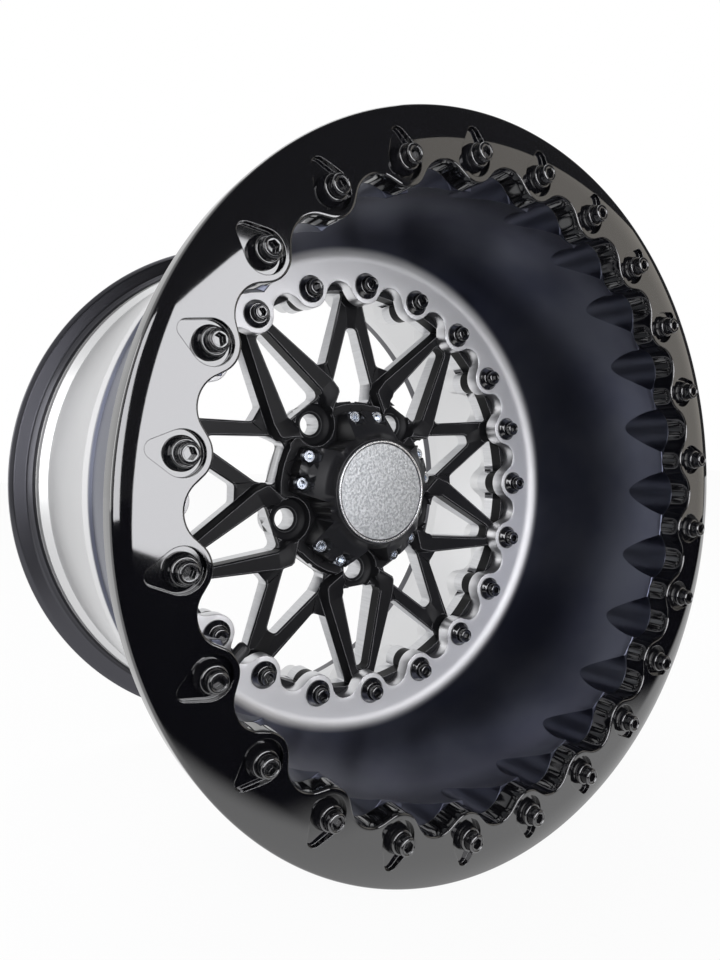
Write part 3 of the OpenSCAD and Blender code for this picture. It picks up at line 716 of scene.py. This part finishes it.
POCKET_STAND = 11.4
CLAMP_TOP = POCKET_FLOOR - POCKET_STAND
clamp_bolt = socket_bolt("clamp_bolt_set", top=CLAMP_TOP, head=4.75, head_height=6.3, shank=3.1,
                         tip=-137.5, circle=CLAMP_CIRCLE)
dress(ring_of(clamp_bolt, CLAMP_BOLTS), POLISHED, "black_steel", "clamp_bolts")
clamp_washer = cup_washer("clamp_washer_set", base=POCKET_FLOOR, outer=7.4, height=6.5, head=4.75,
                          recess=5.1, bore=3.5, circle=CLAMP_CIRCLE)
dress(ring_of(clamp_washer, CLAMP_BOLTS), POLISHED, "black_steel", "clamp_washers")

FLANGE_FRONT = -39.0
FLANGE_STAND = 8.6
flange_bolt = socket_bolt("flange_bolt_set", top=FLANGE_FRONT - FLANGE_STAND, head=5.0, head_height=6.0,
                          shank=3.1, tip=0.5, circle=FLANGE_CIRCLE)
dress(ring_of(flange_bolt, FLANGE_BOLTS), POLISHED, "black_steel", "assembly_bolts")
flange_washer = cup_washer("flange_washer_set", base=FLANGE_FRONT, outer=8.8, height=4.0, head=5.0,
                           recess=2.6, bore=3.5, circle=FLANGE_CIRCLE)
dress(ring_of(flange_washer, FLANGE_BOLTS), POLISHED, "black_steel", "assembly_washers")

# %% [markdown]
# ## The outer half
#
# The dish is hollow in section, widest in the middle. A round cutter has run back into its
# mouth between every two bolts, which leaves a scoop with a round end in the wall. The
# rolled grid keeps one row of points exactly on the edge of the scoops at every angle, and
# one column on each of their corners, which makes them crisp.

# %% The dish, with its arches and fillet
MOUTH = -154.5
BELLY_RADIUS = 177.6
BELLY_DEPTH = -101.2
MOUTH_RISE = 12.4
FOOT_RISE = 17.3
MOUTH_ARC = ((BELLY_DEPTH - MOUTH) ** 2 + MOUTH_RISE ** 2) / (2 * MOUTH_RISE)
FOOT_ARC = ((FLANGE_FRONT - BELLY_DEPTH) ** 2 + FOOT_RISE ** 2) / (2 * FOOT_RISE)
FILLET = 9.0
FLANGE_BACK = -29.0


def dish_radius(y):
    """Radius of the dish wall at a depth: one arc towards the mouth and one towards the flange."""
    sweep = MOUTH_ARC if y < BELLY_DEPTH else FOOT_ARC
    return BELLY_RADIUS - sweep + math.sqrt(sweep ** 2 - (y - BELLY_DEPTH) ** 2)


FOOT_CENTRE = BELLY_RADIUS - FOOT_ARC
FILLET_Y = FLANGE_FRONT - FILLET
FILLET_R = FOOT_CENTRE + math.sqrt((FOOT_ARC - FILLET) ** 2 - (FILLET_Y - BELLY_DEPTH) ** 2)
FILLET_LEAN = math.degrees(math.atan2(FILLET_Y - BELLY_DEPTH, FILLET_R - FOOT_CENTRE))
FILLET_TOUCH = BELLY_DEPTH + FOOT_ARC * math.sin(math.radians(FILLET_LEAN))
SCOOP_CENTRE = VALLEY - SCOOP
DISH_MOUTH = BELLY_RADIUS - MOUTH_RISE
SCOOP_HALF = math.degrees(math.acos(
    (SCOOP_CENTRE ** 2 + DISH_MOUTH ** 2 - SCOOP ** 2) / (2 * SCOOP_CENTRE * DISH_MOUTH)))


def scooped_mouth(turn):
    """Radius of the mouth's inner edge: the cutter's arc in a scoop, and the dish's edge elsewhere."""
    off = (turn - FIRST_BOLT) % CLAMP_STEP - CLAMP_STEP / 2
    a = math.radians(off)
    if abs(off) > SCOOP_HALF:
        return DISH_MOUTH
    return SCOOP_CENTRE * math.cos(a) + math.sqrt(SCOOP ** 2 - (SCOOP_CENTRE * math.sin(a)) ** 2)


def crease_depth(turn):
    """The depth at which a scoop runs out in the dish."""
    inwards = BELLY_RADIUS - MOUTH_ARC
    return BELLY_DEPTH - math.sqrt(MOUTH_ARC ** 2 - (scooped_mouth(turn) - inwards) ** 2)


SCOOP_COLUMNS = 22
GAP_COLUMNS = 9


def scoop_turns():
    """Columns for the outer half, dense in the scoops, with one on each corner of a scoop."""
    turns = []
    for i in range(CLAMP_BOLTS):
        middle = (i + 0.5) * CLAMP_STEP
        turns += [middle + SCOOP_HALF * (2 * k / SCOOP_COLUMNS - 1) for k in range(SCOOP_COLUMNS)]
        gap = CLAMP_STEP - 2 * SCOOP_HALF
        turns += [middle + SCOOP_HALF + gap * k / GAP_COLUMNS for k in range(GAP_COLUMNS)]
    return [FIRST_BOLT + turn for turn in turns + [turns[0] + 360]]


SCOOP_ROWS = 8
DISH_ROWS = 48
FLANGE_ROWS = 4
MOUTH_EDGE = 0.4
FLANGE_EDGE = 0.6
GROOVE = (165.8, 170.2)
GROOVE_FLOOR = FLANGE_BACK - 2.7
JOINT = 186.2
DRUM = 184.8
BEAD_SEAT = 189.0
HUMP_CENTRE = (187.8, -124.5)
HUMP = 3.0


def dish_section(turn):
    """From the bead seat through the mouth and the dish to the flange, and back along the outside."""
    wave = scooped_mouth(turn)
    inner = flange_wave(turn)
    crease = crease_depth(turn)
    lip = MOUTH + MOUTH_EDGE
    points = [(BEAD_SEAT, MOUTH + 4), (BEAD_SEAT - 1.5, MOUTH), (wave + 0.5, MOUTH), (wave, lip)]
    for i in range(1, SCOOP_ROWS + 1):
        points.append((wave, lip + max(0.1, crease - lip) * i / SCOOP_ROWS))
    start = max(crease, lip + 0.1)
    for i in range(1, DISH_ROWS + 1):
        y = start + (FILLET_TOUCH - start) * i / DISH_ROWS
        points.append((dish_radius(y), y))
    points += arc((FILLET_R, FILLET_Y), FILLET, FILLET_LEAN, 90, 10)[1:]
    edge = inner + FLANGE_EDGE
    for i in range(1, FLANGE_ROWS + 1):
        points.append((FILLET_R + (edge - FILLET_R) * i / FLANGE_ROWS, FLANGE_FRONT))
    points += arc((edge, FLANGE_FRONT + FLANGE_EDGE), FLANGE_EDGE, 270, 180, 3)[1:]
    points += [(inner, FLANGE_BACK), (GROOVE[0], FLANGE_BACK), (GROOVE[0], GROOVE_FLOOR),
               (GROOVE[1], GROOVE_FLOOR), (GROOVE[1], FLANGE_BACK),
               (JOINT - 0.6, FLANGE_BACK), (JOINT, FLANGE_BACK - 0.6), (JOINT, -45.0),
               (DRUM, -47.0), (DRUM, -117.5), (188.4, -123.3)]
    points += arc(HUMP_CENTRE, HUMP, 25, -75, 6)
    points += [(BEAD_SEAT, -129.0), (BEAD_SEAT, MOUTH + 4)]
    return points


def radial_tool(radius, inner, outer, turn, y, sides=32):
    """A round bar along a radius of the wheel, at a turn from the top and a depth y."""
    bpy.ops.mesh.primitive_cylinder_add(vertices=sides, radius=radius * MM, depth=(outer - inner) * MM,
                                        location=(0, y * MM, (inner + outer) / 2 * MM))
    tool = bpy.context.object
    bpy.ops.object.transform_apply(location=True, rotation=True, scale=True)
    tool.data.transform(Matrix.Rotation(math.radians(turn), 4, "Y"))
    return tool


def sharpen_crease(piece):
    """Marks the arches' edges as sharp, because near their tips they are too flat for an angle."""
    on_crease = []
    for vertex in piece.data.vertices:
        radius = math.hypot(vertex.co.x, vertex.co.z) / MM
        turn = math.degrees(math.atan2(vertex.co.x, vertex.co.z))
        near_wave = abs(radius - scooped_mouth(turn)) < 0.03
        on_crease.append(near_wave and abs(vertex.co.y / MM - crease_depth(turn)) < 0.12)
    in_edit(piece)
    bpy.ops.mesh.select_mode(type="EDGE")
    bpy.ops.mesh.select_all(action="DESELECT")
    bpy.ops.object.mode_set(mode="OBJECT")
    found = 0
    for edge in piece.data.edges:
        if on_crease[edge.vertices[0]] and on_crease[edge.vertices[1]]:
            edge.select = True
            found += 1
    bpy.ops.object.mode_set(mode="EDIT")
    bpy.ops.mesh.mark_sharp()
    bpy.ops.object.mode_set(mode="OBJECT")
    bpy.ops.object.shade_smooth_by_angle(angle=math.radians(20), keep_sharp_edges=True)
    print("crease edges:", found)


VALVE_TURN = 228.0
VALVE_Y = -50.0
VALVE_SEAT = 167.0
VALVE_SPOT = 7.4
VALVE_BORE = 4.05
VALVE_POCKET = 7.0
outer = rolled("outer_half_satin", scoop_turns(), dish_section)
boolean(outer, radial_tool(VALVE_SPOT, 140, VALVE_SEAT, VALVE_TURN, VALVE_Y))
boolean(outer, radial_tool(VALVE_BORE, 150, 200, VALVE_TURN, VALVE_Y))
boolean(outer, radial_tool(VALVE_POCKET, VALVE_SEAT + 6, 205, VALVE_TURN, VALVE_Y))
sharpen_crease(outer)
dress(outer, SATIN, "dark_barrel", "outer_barrel")

# %% [markdown]
# ## The centre
#
# The spokes are flat faces and straight walls, so the CAD solid already has the right
# shape. A copy of it is merged, which joins its loose triangles, so that a real chamfer
# can be cut along the front edges of the spokes, the frame and the noses.

# %% Merged copies of CAD solids
def merged_copy(node, name):
    """A copy of a CAD node with its loose triangles joined."""
    piece = NODES[node].copy()
    piece.data = NODES[node].data.copy()
    piece.parent = None
    for key in list(piece.keys()):
        del piece[key]
    piece.name = name
    bpy.context.scene.collection.objects.link(piece)
    in_edit(piece)
    bpy.ops.mesh.remove_doubles(threshold=0.002 * MM)
    bpy.ops.object.mode_set(mode="OBJECT")
    return piece


# %% A chamfer along the front edges
TIGHT_CORNERS = (71.0, 73.4)


def front_edges(piece, planes, inner, outer):
    """Selects the edges between a face on one of the planes, looking forwards, and its wall."""
    mesh = piece.data
    facing = {}
    for face in mesh.polygons:
        for key in face.edge_keys:
            facing.setdefault(key, []).append(face.normal.y)
    chosen = 0
    for edge in mesh.edges:
        ends = [mesh.vertices[v].co for v in edge.vertices]
        level = [any(abs(end.y / MM - plane) < 0.02 for plane in planes) for end in ends]
        away = [math.hypot(end.x, end.z) / MM for end in ends]
        normals = sorted(facing[edge.key])
        on_plane = all(level) and abs(ends[0].y - ends[1].y) < 1e-6
        within = inner < min(away) and max(away) < outer
        edge.select = (on_plane and within and len(normals) == 2
                       and normals[0] < -0.99 and abs(normals[1]) < 0.3)
        chosen += edge.select
    return chosen


def choose_front(piece, planes, inner, outer):
    """Leaves edit mode on, with only the front edges selected."""
    in_edit(piece)
    bpy.ops.mesh.select_mode(type="EDGE")
    bpy.ops.mesh.select_all(action="DESELECT")
    bpy.ops.object.mode_set(mode="OBJECT")
    chosen = front_edges(piece, planes, inner, outer)
    bpy.ops.object.mode_set(mode="EDIT")
    return chosen


def chamfer_front(piece, planes, width, inner, outer):
    """Merges the tight corners of the legs, then bevels the front edges with one flat chamfer."""
    choose_front(piece, planes[:1], *TIGHT_CORNERS)
    bpy.ops.mesh.merge(type="COLLAPSE")
    bpy.ops.object.mode_set(mode="OBJECT")
    chosen = choose_front(piece, planes, inner, outer)
    bpy.ops.mesh.bevel(offset=width * MM, offset_type="OFFSET", segments=1, affect="EDGES",
                       clamp_overlap=False)
    bpy.ops.object.mode_set(mode="OBJECT")
    bpy.ops.object.shade_smooth_by_angle(angle=math.radians(26))
    print(piece.name, "chamfered along", chosen, "edges")


FACE_Y = -29.0
FRAME_Y = -25.0
CHAMFER = 1.1
CHAMFER_FROM = 40.0
CHAMFER_TO = 137.9
centre = merged_copy("wheel_centre", "spoked_centre")
chamfer_front(centre, (FACE_Y, FRAME_Y, STEP_DEPTH), CHAMFER, CHAMFER_FROM, CHAMFER_TO)
dress(centre, CENTRE, "satin_black", "wheel_centre")
cap = merged_copy("hub_cap_body", "hub_cap_arms")
bpy.ops.object.shade_smooth_by_angle(angle=math.radians(26))
dress(cap, CAP, "satin_black", "hub_cap_body")

# %% [markdown]
# ## The inner half
#
# The inner half is turned too: a long straight wall, a hump that keeps the tyre's bead in
# place, and a rolled lip. Its flange inside is scalloped like the outer half's, and holds
# the threaded inserts.

# %% The inner half and its flange
INNER_WALL = 183.0
LIP_RADIUS = 204.7
LIP_END = 132.0
CENTRE_RIM = 153.0
BOLTING_BACK = -10.0
INNER_FLANGE_BACK = 2.0
INNER_LOBE = 8.5
INNER_SCALLOP = 13.0
INNER_VALLEY = 147.0
INSERT_BORE = 4.6


def inner_wave(turn):
    """The inner edge of the inner half's flange."""
    return wave_radius(turn, FIRST_BOLT, FLANGE_BOLTS, FLANGE_CIRCLE, INNER_LOBE, INNER_SCALLOP,
                       INNER_VALLEY)


def inner_half_section(turn):
    """From the flange along the outside to the rolled lip, and back along the inside."""
    inner = inner_wave(turn)
    bead = LIP_END - 22
    return rounded([
        (inner, BOLTING_BACK, 0), (CENTRE_RIM, BOLTING_BACK, 0), (CENTRE_RIM, FACE_Y, 0),
        (INNER_WALL - 0.8, FACE_Y, 0), (INNER_WALL, FACE_Y + 0.8, 0), (INNER_WALL, FACE_Y + 40, 0),
        (INNER_WALL, bead - 14, 3), (INNER_WALL + 4.5, bead - 4, 2.5), (INNER_WALL + 5.2, bead + 2, 3),
        (INNER_WALL + 7, bead + 8, 3), (INNER_WALL + 10, bead + 13, 3), (LIP_RADIUS - 3, bead + 14.5, 3),
        (LIP_RADIUS, bead + 17, 1.6), (LIP_RADIUS, LIP_END, 1.9), (LIP_RADIUS - 5, LIP_END, 3),
        (187.0, LIP_END - 5.5, 3), (183.0, LIP_END - 8, 4), (181.5, bead + 2, 8), (178.0, bead - 12, 8),
        (178.0, 40, 0), (178.0, INNER_FLANGE_BACK + 8, 6), (170.0, INNER_FLANGE_BACK, 5),
        (160.0, INNER_FLANGE_BACK, 0), (inner, INNER_FLANGE_BACK, 0.6), (inner, BOLTING_BACK, 0)], 5)


def axial_tool(radius, front, back, circle, sides=24):
    """A round bar along the wheel axis, at the top of the wheel."""
    bpy.ops.mesh.primitive_cylinder_add(
        vertices=sides, radius=radius * MM, depth=(back - front) * MM,
        location=(0, (front + back) / 2 * MM, circle * MM), rotation=(math.pi / 2, 0, 0))
    tool = bpy.context.object
    bpy.ops.object.transform_apply(location=True, rotation=True, scale=True)
    return tool


inner_half = rolled("inner_half_turned", even_turns(480), inner_half_section)
insert_bore = axial_tool(INSERT_BORE, BOLTING_BACK - 2, INNER_FLANGE_BACK + 2, FLANGE_CIRCLE)
boolean(inner_half, ring_of(insert_bore, FLANGE_BOLTS))
bpy.ops.object.shade_smooth_by_angle(angle=math.radians(24))
dress(inner_half, TURNED, "bare_barrel", "inner_barrel")

# %% [markdown]
# ## The floor and the light
#
# The wheel stands on a white paper in a white studio that is dark behind the camera. The
# paper ends a little way in front of the wheel, so the lower part of the clamp ring
# mirrors it only near the floor. Two large soft lights stand in front, and they make the
# broad bright reflection on the left of the ring and the thin strip along its rim.

# %% Floor
FLOOR_Z = -0.2047
PAPER_FADE = (-0.31, -0.24)


def pale_floor():
    """White paper that glows for the camera, and for reflections only near the wheel."""
    bpy.ops.object.select_all(action="DESELECT")
    bpy.ops.mesh.primitive_plane_add(size=12, location=(0, 0, 0))
    floor = bpy.context.object
    floor.name = "floor"
    floor.data.transform(Matrix.Translation((0, 0, FLOOR_Z)))
    material = bpy.data.materials.new("pale_floor")
    material.use_nodes = True
    tree = material.node_tree
    tree.nodes.clear()
    out = tree.nodes.new("ShaderNodeOutputMaterial")
    path = tree.nodes.new("ShaderNodeLightPath")
    place = tree.nodes.new("ShaderNodeTexCoord")
    split = tree.nodes.new("ShaderNodeSeparateXYZ")
    tree.links.new(place.outputs["Object"], split.inputs[0])
    paper = tree.nodes.new("ShaderNodeBsdfDiffuse")
    paper.inputs["Color"].default_value = (0.82, 0.82, 0.83, 1)
    seen = Wire(tree, path.outputs["Is Camera Ray"])
    clear = Wire(tree, path.outputs["Is Transmission Ray"])
    mirrored = (Wire(tree, path.outputs["Is Glossy Ray"]) + clear).clip()
    near = Wire(tree, split.outputs[1]).step(*PAPER_FADE)
    glow = seen.node("ShaderNodeEmission", inputs={"Strength": (seen + mirrored * near).clip()})
    mixer = seen.node("ShaderNodeMixShader", inputs={0: seen * 0.94 + mirrored * (1 - seen)})
    tree.links.new(paper.outputs[0], mixer.socket.node.inputs[1])
    tree.links.new(glow.socket, mixer.socket.node.inputs[2])
    tree.links.new(mixer.socket, out.inputs["Surface"])
    floor.data.materials.append(material)
    return floor


pale_floor()


# %% White room
ROOM_LEAN = 0.48
ROOM_FADE = (-0.4, 0.45)
ROOM_BRIGHT = 0.92
ROOM_DARK = 0.04
ROOM_FILL = 0.14


def white_room():
    """White for the camera. For reflections it is white behind the wheel and nearly black in front."""
    world = bpy.data.worlds.new("white_room")
    world.use_nodes = True
    tree = world.node_tree
    tree.nodes.clear()
    out = tree.nodes.new("ShaderNodeOutputWorld")
    path = tree.nodes.new("ShaderNodeLightPath")
    direction = tree.nodes.new("ShaderNodeTexCoord")
    split = tree.nodes.new("ShaderNodeSeparateXYZ")
    tree.links.new(direction.outputs["Generated"], split.inputs[0])
    away = Wire(tree, split.outputs[1]) - Wire(tree, split.outputs[0]) * ROOM_LEAN
    behind = away.step(*ROOM_FADE)
    camera = Wire(tree, path.outputs["Is Camera Ray"])
    soft = Wire(tree, path.outputs["Is Diffuse Ray"])
    level = camera + (1 - camera) * (behind * ROOM_BRIGHT + ROOM_DARK + soft * ROOM_FILL)
    light = tree.nodes.new("ShaderNodeBackground")
    tree.links.new(level.socket, light.inputs["Strength"])
    tree.links.new(light.outputs[0], out.inputs["Surface"])
    light.inputs["Color"].default_value = (1, 1, 1, 1)
    bpy.context.scene.world = world


white_room()


# %% Soft lights
def soft_light(name, place, aim, size, radiance, roll=0.0, colour=(1, 1, 1)):
    """A rectangle of light. Radiance is how bright it looks, where 1 is white paper."""
    lamp = bpy.data.lights.new(name, "AREA")
    lamp.shape = "RECTANGLE"
    lamp.size, lamp.size_y = size
    lamp.energy = math.pi * size[0] * size[1] * radiance
    lamp.color = colour
    holder = bpy.data.objects.new(name, lamp)
    holder.visible_camera = False
    bpy.context.scene.collection.objects.link(holder)
    holder.location = place
    aimed = (Vector(aim) - Vector(place)).to_track_quat("-Z", "Y")
    rolled_over = Matrix.Rotation(math.radians(roll), 4, "Z").to_quaternion()
    holder.rotation_euler = (aimed @ rolled_over).to_euler()
    return holder


COOL = (0.97, 0.97, 1.0)
WARM = (1.0, 0.94, 0.85)
soft_light("front_softbox", (0.1, -1.4, 0.12), (0.1, 0, 0.12), (1.08, 0.9), 5.6, roll=-10, colour=COOL)
soft_light("left_strip", (-1.1, -1.5, 0.4), (-0.2, -0.16, 0.05), (0.5, 1.1), 5.0, colour=COOL)
soft_light("right_softbox", (1.5, -0.95, 0.2), (0.1, 0, 0), (1.5, 1.6), 0.75, colour=WARM)
soft_light("top_softbox", (0.1, 0.5, 1.8), (0, 0, 0), (1.2, 0.8), 2.2)
soft_light("left_softbox", (-1.7, 0.7, 0.5), (0, 0.1, 0), (1.0, 1.2), 2.6)

# %% [markdown]
# ## The camera
#
# The camera's place, direction and lens were fitted to the bolt circles in the
# photograph, so the wheel fills the frame as it does there.

# %% Camera
LENS = 25.88
EYE = Vector((-268.8, -433.5, 28.3)) * MM
RIGHT = Vector((0.8329, -0.5533, -0.0134))
UP = Vector((0.0353, 0.0289, 0.9989))
camera = bpy.data.cameras.new("camera")
camera.lens = LENS
camera.sensor_width = 36
camera.clip_start = 0.01
camera.clip_end = 50
viewer = bpy.data.objects.new("camera", camera)
bpy.context.scene.collection.objects.link(viewer)
back = RIGHT.cross(UP).normalized()
side = UP.cross(back).normalized()
turn = Matrix((side, back.cross(side), back)).transposed()
viewer.matrix_world = Matrix.Translation(EYE) @ turn.to_4x4()
bpy.context.scene.camera = viewer
bpy.context.scene.view_settings.view_transform = "Standard"
